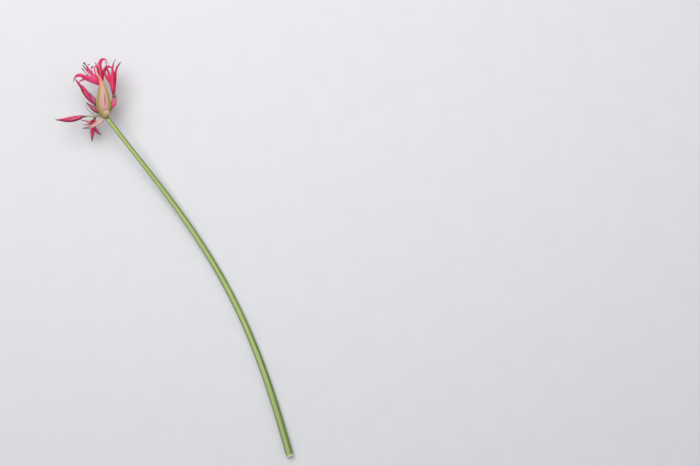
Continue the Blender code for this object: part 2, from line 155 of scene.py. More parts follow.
def stations(path, radii):
    """Each point of a path with its direction and its radius."""
    ends = [path[0], *path, path[-1]]
    ways = [(after - before).normalized() for before, after in zip(ends, ends[2:])]
    return list(zip(path, ways, radii))


def sweep(bm, rings, sides, part=0.0, lobes=0, depth=0.0):
    """Adds a closed tube through rings, which may be lobed, and fills in its grain and leaf."""
    grain = bm.verts.layers.float_vector["grain"]
    leaf = bm.verts.layers.float_vector["leaf"]
    made = bmesh.ops.create_circle(bm, segments=sides, radius=1, cap_ends=True)["verts"]
    cap = made[0].link_faces[0]
    for vert in made:
        vert[grain] = vert.co
    total = sum((b[0] - a[0]).length for a, b in zip(rings, rings[1:]))
    turn = rings[0][1].to_track_quat("Z", "Y")
    run = 0
    for i, (point, way, radius) in enumerate(rings):
        turn = (turn @ UP).rotation_difference(way) @ turn
        if i:
            run += (point - rings[i - 1][0]).length
            grown = bmesh.ops.extrude_face_region(bm, geom=[cap, *cap.edges])["geom"]
            cap = next(item for item in grown if isinstance(item, bmesh.types.BMFace))
        for vert in cap.verts:
            angle = math.atan2(vert[grain].y, vert[grain].x)
            around = Vector((math.cos(angle), math.sin(angle), 0))
            vert.co = point + turn @ around * radius * (1 + depth * math.cos(lobes * angle))
            vert[grain] = around * max(radius, 0.1 * MM) + UP * run
            vert[leaf] = Vector((angle / math.pi, run / total, part))


def new_piece():
    """An empty bmesh with the two maps that materials read."""
    bm = bmesh.new()
    bm.verts.layers.float_vector.new("grain")
    bm.verts.layers.float_vector.new("leaf")
    return bm


def finish_piece(name, bm, material, replaced=None):
    """Turns a bmesh into a piece of the model, in the place of a CAD node if it has one."""
    bmesh.ops.recalc_face_normals(bm, faces=bm.faces)
    mesh = bpy.data.meshes.new(name)
    bm.to_mesh(mesh)
    bm.free()
    mesh.shade_smooth()
    mesh.materials.append(material)
    piece = bpy.data.objects.new(name, mesh)
    bpy.context.scene.collection.objects.link(piece)
    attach(piece, "root")
    if replaced:
        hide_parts(replaced)


def smooth_step(low, high, x):
    """0 below low, 1 above high, and a smooth rise between them."""
    t = min(1, max(0, (x - low) / (high - low)))
    return t * t * (3 - 2 * t)


def scape_radius(u):
    return NECK_RADIUS + (FOOT_RADIUS - NECK_RADIUS) * u**TAPER_POWER


def scape_point(u):
    """Centre of the scape at share u of its length, from the umbel at 0 to the cut foot at 1."""
    bow = SCAPE_BOW * math.sin(math.pi * u**BOW_SKEW)
    raised = max(0, 1 - u / (1 - LYING_SHARE)) ** RISE_POWER
    height = scape_radius(u) + (UMBEL.z - NECK_RADIUS) * raised
    return Vector((UMBEL.x + bow, UMBEL.y - SCAPE_LENGTH * u, height))


def scape_skin():
    """Green and yellower near the head, with a painted highlight along its upper side and painted shade
    on its flanks; the cut is pale, with fibre dots.
    """
    made, tree, grain, leaf = tissue("scape_skin")
    streaks = noise(tree, grain, (1300, 1300, 14), 4)
    fibres = noise(tree, grain, (5200, 5200, 90), 2)
    patches = noise(tree, grain, (120, 120, 22), 3)
    green = ramp(
        tree, leaf[1], (0, shade(88, 116, 42)), (0.45, shade(100, 134, 50)),
        (0.8, shade(128, 154, 68)), (0.97, shade(150, 166, 84)), (1, shade(130, 136, 66)),
    )
    stripes = noise(tree, grain, (420, 420, 5), 1)
    banded = mixed(tree, rise(tree, stripes, 0.42, 0.62, 0.55), green, shade(172, 190, 112))
    ribbed = mixed(tree, rise(tree, streaks, 0.35, 0.75, 0.5), banded, shade(70, 94, 36))
    shaded = mixed(tree, rise(tree, fibres, 0.5, 0.8, 0.4), ribbed, shade(66, 90, 34))
    # Painted highlight where the stem faces up, then painted shade on the flanks turned away.
    painted_highlight = mixed(tree, rise(tree, leaf[2], 0.7, 1.0, 0.5), shaded, shade(196, 210, 138))
    painted_flank_shade = mixed(tree, rise(tree, leaf[2], 0.8, 0.35, 0.6), painted_highlight, shade(84, 106, 38))
    bloomed = mixed(tree, rise(tree, patches, 0.5, 0.75, 0.3), painted_flank_shade, shade(168, 182, 132))
    cell = node(tree, "TexVoronoi", {"Vector": grain, "Scale": 1100.0}).outputs["Distance"]
    pith = mixed(tree, rise(tree, cell, 0.12, 0.3), shade(134, 146, 88), shade(214, 220, 172))
    colour = mixed(tree, rise(tree, leaf[2], 1.2, 1.8), bloomed, pith)
    roughness = maths(tree, "MULTIPLY_ADD", patches, 0.3, 0.28)
    ribs = maths(tree, "MULTIPLY_ADD", stripes, 2.0, streaks)
    height = maths(tree, "MULTIPLY_ADD", fibres, 0.35, ribs)
    dress(
        tree, colour, roughness, height, 0.16 * MM,
        {
            "Subsurface Weight": 0.12, "Subsurface Scale": 0.002, "Coat Weight": 0.12,
            "Coat Roughness": 0.35,
        },
    )
    return made


scape = new_piece()
foot = scape_point(1)
foot_way = (scape_point(0.995) - foot).normalized()
rings = [(foot + foot_way * MM * d, foot_way, FOOT_RADIUS * r) for d, r in CUT_SHAPE]
shares = [1 - i / SCAPE_STEPS for i in range(1, SCAPE_STEPS)]
rings += stations([scape_point(u) for u in shares], [scape_radius(u) for u in shares])
neck_way = rings[-1][1]
for i in range(DOME_STEPS + 1):
    angle = math.radians(DOME_START + DOME_ARC * i / DOME_STEPS)
    centre = UMBEL - neck_way * DOME_LENGTH / 2 * math.cos(angle)
    rings.append((centre, neck_way, DOME_RADIUS * max(0.03, math.sin(angle))))
sweep(scape, rings, SCAPE_SIDES, lobes=SCAPE_RIBS, depth=SCAPE_RIB_HEIGHT)
bmesh.ops.recalc_face_normals(scape, faces=scape.faces)
scape.normal_update()
leaf = scape.verts.layers.float_vector["leaf"]
for vert in scape.verts:
    cut = (vert.co - foot).dot(foot_way) < CUT_DEPTH and vert[leaf].y < CUT_SHARE
    # leaf z holds how far each point faces up, for the painted highlight and painted shade; 2 marks the
    # cut face.
    vert[leaf].z = 2 if cut else max(0, vert.normal.dot(HIGHLIGHT_FACING))
finish_piece("scape_stem", scape, scape_skin(), "scape")


# Pedicels: each floret and bud stands on its own thin stalk, grown out of the dome. It ends in
# the ovary, a small three-lobed green seed case that the tepals sit on. The three numbers of a
# place or direction are x, y and z from the middle of the dome, in millimetres.
PEDICEL_RADIUS = 1.1 * MM
PEDICEL_POINTS = 30
PEDICEL_SIDES = 24
PEDICEL_LOBES = 3
PEDICEL_LOBE_HEIGHT = 0.05
ROOT_FLARE = 0.35
ROOT_FLARE_END = 0.12
ROOT_SINK = 0.8
START_PULL = 0.4
END_PULL = 0.35
OVARY_RADIUS = 2.05 * MM
OVARY_LENGTH = 5.4 * MM
OVARY_SHAPE = (
    (0.0, 0.56), (0.1, 0.64), (0.2, 0.8), (0.32, 0.93), (0.45, 1.0), (0.6, 1.01), (0.74, 0.97),
    (0.86, 0.9), (0.94, 0.84), (1.0, 0.8),
)
FLORETS = {
    "floret_1": dict(
        root=(0.40, 0.85, 0.35), seat=(15.1, 41.7, 3.5), axis=(-0.37, 0.92, 0.05), seed=11,
        base=20, flare=19, curl=90, length=45, width=8.2, sag=(0.11, 0.08, 0.03), stamen=0.73,
        own={
            0: dict(azimuth=-56, flare=0, curl=90, length=43.5, bend=-2.2, twist=27),
            1: dict(azimuth=60, flare=17, curl=60, length=42, bend=0, twist=-46),
            2: dict(azimuth=192, flare=-8, curl=68, length=33, bend=-0.9, twist=20),
            3: dict(azimuth=210, flare=-11, curl=118, length=48, twist=26),
            4: dict(azimuth=246, flare=10, curl=60, length=36),
            5: dict(azimuth=10, flare=14, curl=50, length=34),
        },
    ),
    "floret_2": dict(
        root=(0.28, 0.92, -0.28), seat=(12.0, 38.8, -10.0), axis=(0.32, 0.945, -0.06), seed=12,
        base=6.5, flare=7, curl=40, length=38, loose=0.5, stamen=0.45, spread=0.01, closed=True,
        own={
            0: dict(azimuth=-26, flare=-10, curl=166, length=57, bend=-4, twist=-54),
            1: dict(azimuth=4, flare=29, curl=185, length=49, bend=-2.4, twist=-40),
            2: dict(azimuth=40, flare=14, curl=10, length=33),
            3: dict(azimuth=178, flare=-2, curl=2, length=40),
            4: dict(azimuth=220, flare=-16, curl=40, length=38, bend=1.1),
            5: dict(azimuth=7, flare=38, curl=-60, length=41, bend=-3, twist=26),
        },
    ),
    "floret_3": dict(
        root=(0.70, 0.66, -0.28), seat=(23.5, 23.0, -2.0), axis=(0.45, 0.892, 0.04), seed=13,
        base=7, flare=6, curl=22, length=40, width=7.2, loose=0.5, stamen=0.45, spread=0.01,
        closed=True,
        own={
            0: dict(azimuth=22, flare=-5, curl=37, length=48.5, twist=30),
            2: dict(azimuth=122, flare=0, curl=4, length=29),
            3: dict(azimuth=209, flare=34, curl=-24, length=38, bend=-1.9, twist=40),
            4: dict(azimuth=231, flare=21, curl=-5, length=41.5, bend=3),
            5: dict(azimuth=-60, flare=-8, curl=70, length=55, bend=-1.3, twist=60),
        },
    ),
    "floret_4": dict(
        root=(-0.22, 0.96, 0.06), seat=(-7.1, 25.5, -6.0), axis=(-0.17, 0.985, -0.03), seed=14,
        base=7.5, flare=0, curl=4, length=34, width=7.8, loose=0.4, stamen=0.42, spread=0.01,
        closed=True,
        own={
            0: dict(azimuth=-2, flare=-8, curl=-6, length=31),
            2: dict(azimuth=122, flare=-2, length=28),
            3: dict(azimuth=181, flare=-3, length=27),
            4: dict(azimuth=196, flare=-19, curl=10, length=45, bend=-0.6, twist=-64),
            5: dict(azimuth=320, flare=-5, curl=0, length=31),
        },
    ),
    "floret_5": dict(
        root=(-0.60, 0.22, -0.76), seat=(-17.5, 6.7, -11.0), axis=(-0.56, -0.32, -0.765), seed=15,
        base=9, flare=44, curl=70, length=36, sag=(0, 0, 0.12), stamen=0.42, spread=0.03,
        own={
            0: dict(azimuth=12, flare=56, curl=-5, length=26, bend=-4, twist=40),
            1: dict(azimuth=56, flare=12, curl=20, length=31),
            2: dict(azimuth=118, flare=12, curl=20, length=34),
            3: dict(azimuth=192, flare=30, length=30),
            4: dict(azimuth=224, flare=34, curl=7, length=34),
            5: dict(azimuth=330, flare=33, curl=-12, length=23, twist=44),
        },
    ),
    "floret_6": dict(
        root=(0.60, 0.46, -0.66), seat=(9.8, 13.0, -12.2), axis=(-0.05, 0.50, -0.866), seed=16,
        base=6.5, flare=0, curl=8, length=31, loose=0.4, spread=0.01, closed=True,
    ),
    "floret_7": dict(
        root=(0.05, 0.62, -0.78), seat=(2.5, 18.0, -12.4), axis=(0.08, 0.64, -0.765), seed=19,
        base=6.5, flare=0, curl=8, length=30.5, loose=0.4, spread=0.01, closed=True,
    ),
}
BUDS = {
    "bud_1": dict(
        root=(-0.60, 0.76, 0.24), seat=(-7.4, 10.2, 1.6), axis=(-0.37, 0.925, 0.04),
        length=23, girth=6.2, size=0.75,
    ),
    "bud_2": dict(
        root=(-0.90, 0.42, 0.05), seat=(-29.5, 16.0, -2.0), axis=(-0.93, 0.37, -0.03),
        length=40, girth=8.2, bend=(-0.8, -2.0, 0), size=0.85,
    ),
    "bud_3": dict(
        root=(0.92, 0.34, 0.20), seat=(12.8, 7.0, 2.2), axis=(0.74, 0.67, 0.05),
        length=19.8, girth=7.4, size=0.7,
    ),
    "bud_4": dict(
        root=(-0.10, 0.84, 0.53), seat=(-4.2, 20.8, 3.2), axis=(-0.02, 1.0, 0.02),
        length=20, girth=6.6, size=0.85,
    ),
}


def in_head(place):
    """A place in the frame from its millimetres from the middle of the dome."""
    return UMBEL + Vector(place) * MM


def pedicel_skin():
    """Cream-green stalks with a fine grain, and darker olive ovaries."""
    made, tree, grain, leaf = tissue("pedicel_skin")
    fibres = noise(tree, grain, (2600, 2600, 60), 3)
    flecks = noise(tree, grain, (1500, 1500, 700), 2)
    green = ramp(
        tree, leaf[1], (0, shade(128, 134, 70)), (0.25, shade(164, 162, 116)),
        (0.7, shade(140, 144, 84)), (0.88, shade(82, 88, 36)), (1, shade(88, 66, 38)),
    )
    light = mixed(tree, rise(tree, fibres, 0.45, 0.75, 0.5), green, shade(196, 196, 140))
    colour = mixed(tree, rise(tree, flecks, 0.58, 0.75, 0.5), light, shade(92, 84, 44))
    height = maths(tree, "MULTIPLY_ADD", flecks, 0.4, fibres)
    roughness = maths(tree, "MULTIPLY_ADD", fibres, 0.25, 0.3)
    dress(
        tree, colour, roughness, height, 0.08 * MM,
        {
            "Subsurface Weight": 0.15, "Subsurface Scale": 0.0015, "Coat Weight": 0.15,
            "Coat Roughness": 0.3,
        },
    )
    return made


pedicel_green = pedicel_skin()
for name, bloom in {**FLORETS, **BUDS}.items():
    root = Vector(bloom["root"]).normalized()
    axis = Vector(bloom["axis"]).normalized()
    size = bloom.get("size", 1)
    seat = in_head(bloom["seat"])
    start = UMBEL + root * DOME_RADIUS
    ovary = seat - axis * OVARY_LENGTH * size
    reach = (ovary - start).length
    leaving = start + root * reach * START_PULL
    arriving = ovary - axis * reach * END_PULL
    path = interpolate_bezier(start, leaving, arriving, ovary, PEDICEL_POINTS)
    radii = []
    for i in range(PEDICEL_POINTS):
        narrowed = smooth_step(0, ROOT_FLARE_END, i / (PEDICEL_POINTS - 1))
        radii.append(PEDICEL_RADIUS * size * (1 + ROOT_FLARE * (1 - narrowed)))
    path[0] = UMBEL + root * DOME_RADIUS * ROOT_SINK
    path += [ovary.lerp(seat, share) for share, width in OVARY_SHAPE[1:]]
    radii += [OVARY_RADIUS * width * size for share, width in OVARY_SHAPE[1:]]
    stalk = new_piece()
    rings = stations(path, radii)
    sweep(stalk, rings, PEDICEL_SIDES, lobes=PEDICEL_LOBES, depth=PEDICEL_LOBE_HEIGHT)
    finish_piece(f"{name}_stalk", stalk, pedicel_green, f"{name}_pedicel")


# Tepals: the six narrow straps of a floret, as thin as paper, with a thicker midrib, crisped edges
# and a tip that turns back. Their claws have grown together into one short throat on the ovary.
# Their flesh sparkles a little, and light comes through it.
TEPAL_COUNT = 6
TEPAL_WIDTH = 6.4
OUTER_ROOT_RADIUS = 1.7 * MM
INNER_ROOT_RADIUS = 1.45 * MM
TEPAL_START = 0.68 * MM
INNER_LEAN = math.radians(-2.5)
FLARE_END = 0.75
CURL_START = 0.5
ROOT_WIDTH_SHARE = 0.36
TIP_WIDTH_SHARE = 0.1
BELLY_SKEW = 0.85
TIP_BLUNTNESS = 7
RIB_THICKNESS = 0.5 * MM
RIB_WIDTH = 0.24
RIB_THINNING = 0.7
EDGE_THICKNESS = 0.2 * MM
CHANNEL_DEPTH = 0.25
CHANNEL_DEEPENING = 0.6
WAVE_HEIGHT = 0.55 * MM
WAVES = 2.5
CRISP_HEIGHT = 0.4 * MM
CRISPS = 6.5
OTHER_EDGE_PHASE = 1.9
TEPAL_ROWS = 46
TEPAL_COLUMNS = 12
LINE_STEPS = 60
THROAT_SIDES = 30

# The throat, as heights over the ovary and radii, in millimetres.
THROAT = ((0.0, 1.55), (0.25, 1.8), (0.7, 2.0), (1.1, 2.0), (1.3, 1.7), (1.35, 0.1))
HUES = {
    "floret_1": dict(outer=shade(255, 66, 126), inner=shade(250, 52, 108), tip=0.8),
    "floret_2": dict(outer=shade(226, 52, 104), inner=shade(202, 30, 74), tip=0.78),
    "floret_3": dict(outer=shade(246, 54, 102), inner=shade(222, 30, 68)),
    "floret_4": dict(outer=shade(226, 50, 100), inner=shade(182, 34, 76), tip=0.86),
    "floret_5": dict(outer=shade(192, 38, 86), inner=shade(158, 18, 52), throat=shade(226, 14, 44)),
    "floret_6": dict(outer=shade(200, 32, 76), inner=shade(168, 16, 48)),
    "floret_7": dict(outer=shade(200, 34, 84), inner=shade(168, 16, 50)),
}


def bloom_axes(bloom):
    """A floret's own axes: to its right, down, and along it."""
    along = Vector(bloom["axis"]).normalized()
    right = along.cross(UP).normalized()
    return right, along.cross(right), along


def tepal_habits(bloom):
    """How each tepal of a floret grows: a seeded draw, and over it what is its own."""
    draw = random.Random(bloom["seed"])
    loose = bloom.get("loose", 1)
    habits = []
    for k in range(TEPAL_COUNT):
        habit = {
            "inner": k % 2 == 1,
            "azimuth": math.radians(360 / TEPAL_COUNT * k + loose * draw.uniform(-7, 7)),
            "length": bloom["length"] * MM * draw.uniform(0.94, 1.04),
            "flare": math.radians(bloom["flare"] + loose * draw.uniform(-5, 5)),
            "curl": math.radians(bloom["curl"] * draw.uniform(0.6, 1.15)),
            "bend": loose * draw.uniform(-3.0, 3.0) * MM,
            "twist": math.radians(loose * draw.uniform(-14, 14)),
            "phase": draw.uniform(0, 2 * math.pi),
            "wave": loose * WAVE_HEIGHT,
        }
        for key, value in bloom.get("own", {}).get(k, {}).items():
            habit[key] = value * MM if key in ("length", "bend") else math.radians(value)
        habits.append(habit)
    return habits


def tepal_half_width(bloom, s):
    belly = ROOT_WIDTH_SHARE + (1 - ROOT_WIDTH_SHARE) * math.sin(math.pi * s**BELLY_SKEW)
    share = max(TIP_WIDTH_SHARE, belly * math.sqrt(max(0, 1 - s**TIP_BLUNTNESS)))
    return bloom.get("width", TEPAL_WIDTH) / 2 * MM * share


def tepal_lean(habit, base, s):
    """Angle between the floret's axis and the tepal at share s of its length."""
    flare = habit["flare"] * smooth_step(0, FLARE_END, s)
    lean = base + flare + habit["curl"] * smooth_step(CURL_START, 1, s)
    return lean + (INNER_LEAN if habit["inner"] else 0)


def tepal_line(habit, base):
    """Distances out from the axis and along it, at even steps of a tepal's length."""
    out = INNER_ROOT_RADIUS if habit["inner"] else OUTER_ROOT_RADIUS
    along = TEPAL_START
    line = [(out, along)]
    for i in range(LINE_STEPS):
        lean = tepal_lean(habit, base, (i + 0.5) / LINE_STEPS)
        out += math.sin(lean) * habit["length"] / LINE_STEPS
        along += math.cos(lean) * habit["length"] / LINE_STEPS
        line.append((out, along))
    return line


def tepal_point(bloom, axes, habit, line, s, v, outer):
    """A point of a tepal at share s of its length, v (-1 to 1) across it, on one of its faces."""
    right, down, along = axes
    outward = right * math.cos(habit["azimuth"]) + down * math.sin(habit["azimuth"])
    sideways = along.cross(outward)
    place = s * LINE_STEPS
    i = min(int(place), LINE_STEPS - 1)
    out = line[i][0] + (line[i + 1][0] - line[i][0]) * (place - i)
    up = line[i][1] + (line[i + 1][1] - line[i][1]) * (place - i)
    lean = tepal_lean(habit, math.radians(bloom["base"]), s)
    inward = along * math.sin(lean) - outward * math.cos(lean)
    twist = habit["twist"] * s
    side = sideways * math.cos(twist) + inward * math.sin(twist)
    lift = inward * math.cos(twist) - sideways * math.sin(twist)
    half = tepal_half_width(bloom, s)
    margin = habit["phase"] + (0 if v > 0 else OTHER_EDGE_PHASE)
    swell = habit["wave"] * smooth_step(0.1, 0.4, s) * math.sqrt(1 - s)
    wave = swell * math.sin(2 * WAVES * math.pi * s + margin)
    hollow = (CHANNEL_DEPTH * half * (1 + CHANNEL_DEEPENING * s) + wave) * v * v
    crisp = CRISP_HEIGHT * smooth_step(0.15, 0.45, s) * (1 - s) ** 0.3
    crisp *= 0.65 + 0.35 * math.sin(4.3 * math.pi * s + 3.1 * margin)
    uneven = 1.4 * math.sin(5 * s + margin)
    crisp *= abs(v) ** 3 * math.sin(2 * CRISPS * math.pi * s + 2.3 * margin + uneven)
    rib = RIB_THICKNESS * (1 - RIB_THINNING * s) * math.exp(-((v / RIB_WIDTH) ** 2))
    thickness = EDGE_THICKNESS + rib
    rise_in = hollow + crisp + thickness * (0.5 - outer)
    centre = in_head(bloom["seat"]) + outward * out + along * up
    return centre + sideways * habit["bend"] * s * s + side * half * v + lift * rise_in


def add_blade(bm, rows, columns, place):
    """Adds a thin closed blade: a sheet doubled by one extrusion, then laid out by place(s, v, face).

    face is 0 on the side first made and 1 on the other, and s and v run along and across."""
    leaf = bm.verts.layers.float_vector["leaf"]
    sheet = bmesh.ops.create_grid(bm, x_segments=columns, y_segments=rows, size=1)["verts"]
    faces = {face for vert in sheet for face in vert.link_faces}
    grown = bmesh.ops.extrude_face_region(bm, geom=list(faces))["geom"]
    back = [item for item in grown if isinstance(item, bmesh.types.BMVert)]
    for verts, face in ((sheet, 0), (back, 1)):
        for vert in verts:
            vert[leaf] = Vector((vert.co.x, (vert.co.y + 1) / 2, face))
    for vert in [*sheet, *back]:
        vert.co = place(vert[leaf].y, vert[leaf].x, vert[leaf].z)


def tepal_skin(name, outer, inner, throat=shade(126, 8, 34), tip=0.68):
    """Pink-red flesh: palest between rib and edge, darker along both, with purple-brown tips."""
    made, tree, grain, leaf = tissue(f"{name}_skin")
    across = maths(tree, "ABSOLUTE", leaf[0])
    veins = noise(tree, grain, (5200, 130, 900), 3)
    clouds = noise(tree, grain, (420, 160, 900), 3)
    sparkle = noise(tree, grain, (9000, 7000, 900), 2)
    side = mixed(tree, leaf[2], inner, outer)
    flush = maths(tree, "MULTIPLY", rise(tree, across, 0.1, 0.5), rise(tree, across, 0.95, 0.6))
    blush = maths(tree, "MULTIPLY", flush, rise(tree, clouds, 0.35, 0.7, 0.6))
    pale = mixed(tree, blush, side, shade(255, 112, 150))
    edged = mixed(tree, rise(tree, across, 0.7, 1.0, 0.7), pale, shade(134, 12, 56))
    rib = maths(tree, "MULTIPLY", rise(tree, across, 0.2, 0.02, 0.5), rise(tree, leaf[1], 0.95, 0.3))
    ribbed = mixed(tree, rib, edged, shade(136, 6, 34))
    veined = mixed(tree, rise(tree, veins, 0.5, 0.72, 0.3), ribbed, shade(160, 10, 46))
    rooted = mixed(tree, rise(tree, leaf[1], 0.2, 0.02, 0.75), veined, throat)
    tipped = mixed(tree, rise(tree, leaf[1], tip, tip + 0.24, 0.88), rooted, shade(92, 24, 52))
    height = maths(tree, "MULTIPLY_ADD", sparkle, 0.3, veins)
    roughness = maths(tree, "MULTIPLY_ADD", sparkle, 0.3, 0.26)
    dress(
        tree, tipped, roughness, height, 0.09 * MM,
        {
            "Subsurface Weight": 0.35, "Subsurface Scale": 0.002, "Sheen Weight": 0.05,
            "Sheen Roughness": 0.4, "Specular IOR Level": 0.5,
        },
    )
    tree.nodes["Principled BSDF"].inputs["Subsurface Radius"].default_value = (1.0, 0.35, 0.6)
    return made


for name, bloom in FLORETS.items():
    whorl = new_piece()
    axes = bloom_axes(bloom)
    seat = in_head(bloom["seat"])
    throat = [seat + axes[2] * MM * height for height, radius in THROAT]
    rings = [(point, axes[2], radius * MM) for point, (height, radius) in zip(throat, THROAT)]
    sweep(whorl, rings, THROAT_SIDES, part=1.0)
    leaf = whorl.verts.layers.float_vector["leaf"]
    grain = whorl.verts.layers.float_vector["grain"]
    for vert in whorl.verts:
        vert[leaf] = Vector((0.5, vert[leaf].y * 0.05, 1))
    for k, habit in enumerate(tepal_habits(bloom)):
        line = tepal_line(habit, math.radians(bloom["base"]))
        known = set(whorl.verts)
        add_blade(
            whorl, TEPAL_ROWS, TEPAL_COLUMNS,
            lambda s, v, face: tepal_point(bloom, axes, habit, line, s, v, face),
        )
        for vert in set(whorl.verts) - known:
            across, share, face = vert[leaf]
            aside = tepal_half_width(bloom, share) * across
            vert[grain] = Vector((aside, habit["length"] * share, 0.01 * k))
    skin = tepal_skin(f"{name}_tepal", **HUES[name])
    finish_piece(f"{name}_whorl", whorl, skin, f"{name}_tepals")


# Stamens and style: six thread-like filaments stand on the throat's small disc round the style.
# Each carries an anther of two joined sacs, hung across its tip, dusted with dark pollen.
STYLE = 6
STYLE_REACH = 1.06
THREAD_POINTS = 26
THREAD_SIDES = 8
FILAMENT_RING = 0.5 * MM
ANTHER_LENGTH = 4.0 * MM
ANTHER_RADIUS = 0.6 * MM
ANTHER_TURN = 0.3
ANTHER_BOW = 0.25
ANTHER_POINTS = 15
ANTHER_SIDES = 14
ANTHER_SACS = 2
ANTHER_GROOVE = 0.22
DISC_SIDES = 20

# In millimetres: where the disc sits over the ovary, its shape as heights and radii, how thick a
# thread is at its root and how much it thins, and the swollen tip of the style.
DISC_SEAT = 1.7
DISC_SHAPE = ((0, 0.1), (0.01, 0.85), (0.7, 0.85), (0.95, 0.6), (1.0, 0.05))
THREAD_ROOT = 0.52
THREAD_THINNING = 0.14
STIGMA = (0.3, 0.42, 0.2)


def thread_path(bloom, axes, start, k, points):
    """A filament's centre line out of the throat; the last of the seven is the style."""
    right, down, along = axes
    draw = random.Random(bloom["seed"] * 10 + k)
    length = bloom["length"] * MM * bloom.get("stamen", 0.86) * draw.uniform(0.86, 1.04)
    spread = bloom.get("spread", 0.13) * draw.uniform(0.7, 1.2)
    angle = math.radians(60 * k + 30)
    outward = right * math.cos(angle) + down * math.sin(angle)
    if k == STYLE:
        length *= STYLE_REACH
        outward = Vector((0, 0, 0))
    sag = Vector(bloom.get("sag", (0, 0, 0)))
    path = []
    for i in range(points):
        s = i / (points - 1)
        aside = outward * (FILAMENT_RING + length * spread * s**1.4)
        path.append(start + along * length * s + aside + sag * length * s**2.4)
    return path


def stamen_skin():
    """Rose threads that darken upwards, and dark grey purple anthers with a grain of pollen."""
    made, tree, grain, leaf = tissue("stamen_skin")
    pollen = noise(tree, grain, (7000, 7000, 7000), 2)
    streaks = noise(tree, grain, (4000, 4000, 120), 2)
    stalk = ramp(
        tree, leaf[1], (0, shade(150, 26, 58)), (0.4, shade(96, 20, 46)),
        (1, shade(66, 28, 46)),
    )
    stalk = mixed(tree, rise(tree, streaks, 0.45, 0.75, 0.25), stalk, shade(204, 96, 122))
    sac = mixed(tree, rise(tree, pollen, 0.45, 0.65), shade(74, 40, 58), shade(126, 96, 96))
    colour = mixed(tree, leaf[2], stalk, sac)
    roughness = maths(tree, "MULTIPLY_ADD", leaf[2], 0.35, 0.4)
    dress(
        tree, colour, roughness, pollen, 0.06 * MM,
        {"Subsurface Weight": 0.1, "Subsurface Scale": 0.001},
    )
    return made


stamen_pink = stamen_skin()
for name, bloom in FLORETS.items():
    threads = new_piece()
    axes = bloom_axes(bloom)
    along = axes[2]
    disc = in_head(bloom["seat"]) + along * DISC_SEAT * MM
    rings = [(disc + along * MM * (d - 0.5), along, r * MM) for d, r in DISC_SHAPE]
    sweep(threads, rings, DISC_SIDES)
    for k in range(STYLE + 1):
        path = thread_path(bloom, axes, disc, k, THREAD_POINTS)
        thinner = [THREAD_THINNING * i / (THREAD_POINTS - 1) for i in range(THREAD_POINTS)]
        thick = [(THREAD_ROOT - less) * MM for less in thinner]
        if k == STYLE:
            thick[-len(STIGMA):] = [radius * MM for radius in STIGMA]
        sweep(threads, stations(path, thick), THREAD_SIDES)
        if k == STYLE:
            continue
        lie = (path[-1] - path[-2]).normalized()
        if not bloom.get("closed"):
            swing = ANTHER_TURN if k % 3 else -ANTHER_TURN
            lie = (lie + lie.cross(axes[k % 2]) * swing).normalized()
        bow = lie.cross(along).normalized() * ANTHER_BOW * MM
        sac = []
        plump = []
        last = ANTHER_POINTS - 1
        for i in range(ANTHER_POINTS):
            sac.append(path[-1] + lie * ANTHER_LENGTH * i / last + bow * math.sin(math.pi * i / last))
            fullness = math.sin(math.pi * (i + 0.5) / ANTHER_POINTS) ** 0.5
            plump.append(ANTHER_RADIUS * (0.12 + 0.88 * fullness))
        rings = stations(sac, plump)
        sweep(threads, rings, ANTHER_SIDES, part=1.0, lobes=ANTHER_SACS, depth=ANTHER_GROOVE)
    finish_piece(f"{name}_threads", threads, stamen_pink, f"{name}_stamens")


# Buds: florets still shut, each a slim spindle. Three outer tepals wrap it and overlap a little
# along three seams that turn round it, and their hardened tips close its point.
BUD_SIDES = 66
BUD_ROWS = 64
BUD_ROOT_SHARE = 0.42
BUD_BELLY_SKEW = 0.8
BUD_BELLY_END = 0.86
BUD_BLUNTNESS = 6
BUD_TIP_SHARE = 0.1
BUD_RIDGES = 3
BUD_RIDGE_HEIGHT = 0.07
SEAM_TURN = 0.5
SEAM_WIDTH = 0.11
SEAM_DEPTH = 0.12
SEAM_LAP = 0.05
BUD_HUES = {
    "bud_1": dict(body=shade(172, 66, 96), seam=shade(78, 16, 42), foot=shade(108, 56, 66)),
    "bud_2": dict(body=shade(206, 24, 88), seam=shade(100, 4, 44), foot=shade(132, 18, 60)),
    "bud_3": dict(body=shade(228, 84, 116), seam=shade(116, 16, 64), foot=shade(132, 88, 60)),
    "bud_4": dict(body=shade(186, 70, 116), seam=shade(104, 26, 62), foot=shade(126, 60, 74)),
}


def bud_skin(name, body, seam, foot):
    """Waxy pink with fine long veins, darker in the seams and at the point, with painted shade down one
    side.
    """
    made, tree, grain, leaf = tissue(f"{name}_skin")
    veins = noise(tree, grain, (3600, 3600, 90), 3)
    clouds = noise(tree, grain, (300, 300, 110), 3)
    sparkle = noise(tree, grain, (8000, 8000, 8000), 2)
    pale = mixed(tree, rise(tree, clouds, 0.5, 0.8, 0.25), body, shade(236, 84, 124))
    veined = mixed(tree, rise(tree, veins, 0.46, 0.7, 0.62), pale, seam)
    # Painted shade down one side of the bud.
    painted_side_shade = mixed(tree, leaf[2], veined, seam)
    seamed = mixed(tree, rise(tree, leaf[0], 0.15, 0.9, 0.9), painted_side_shade, seam)
    rooted = mixed(tree, rise(tree, leaf[1], 0.14, 0.0, 0.85), seamed, foot)
    tipped = mixed(tree, rise(tree, leaf[1], 0.74, 0.94, 0.95), rooted, shade(70, 14, 38))
    height = maths(tree, "MULTIPLY_ADD", sparkle, 0.25, veins)
    roughness = maths(tree, "MULTIPLY_ADD", sparkle, 0.25, 0.24)
    dress(
        tree, tipped, roughness, height, 0.1 * MM,
        {
            "Subsurface Weight": 0.2, "Subsurface Scale": 0.0015, "Coat Weight": 0.15,
            "Coat Roughness": 0.25,
        },
    )
    return made


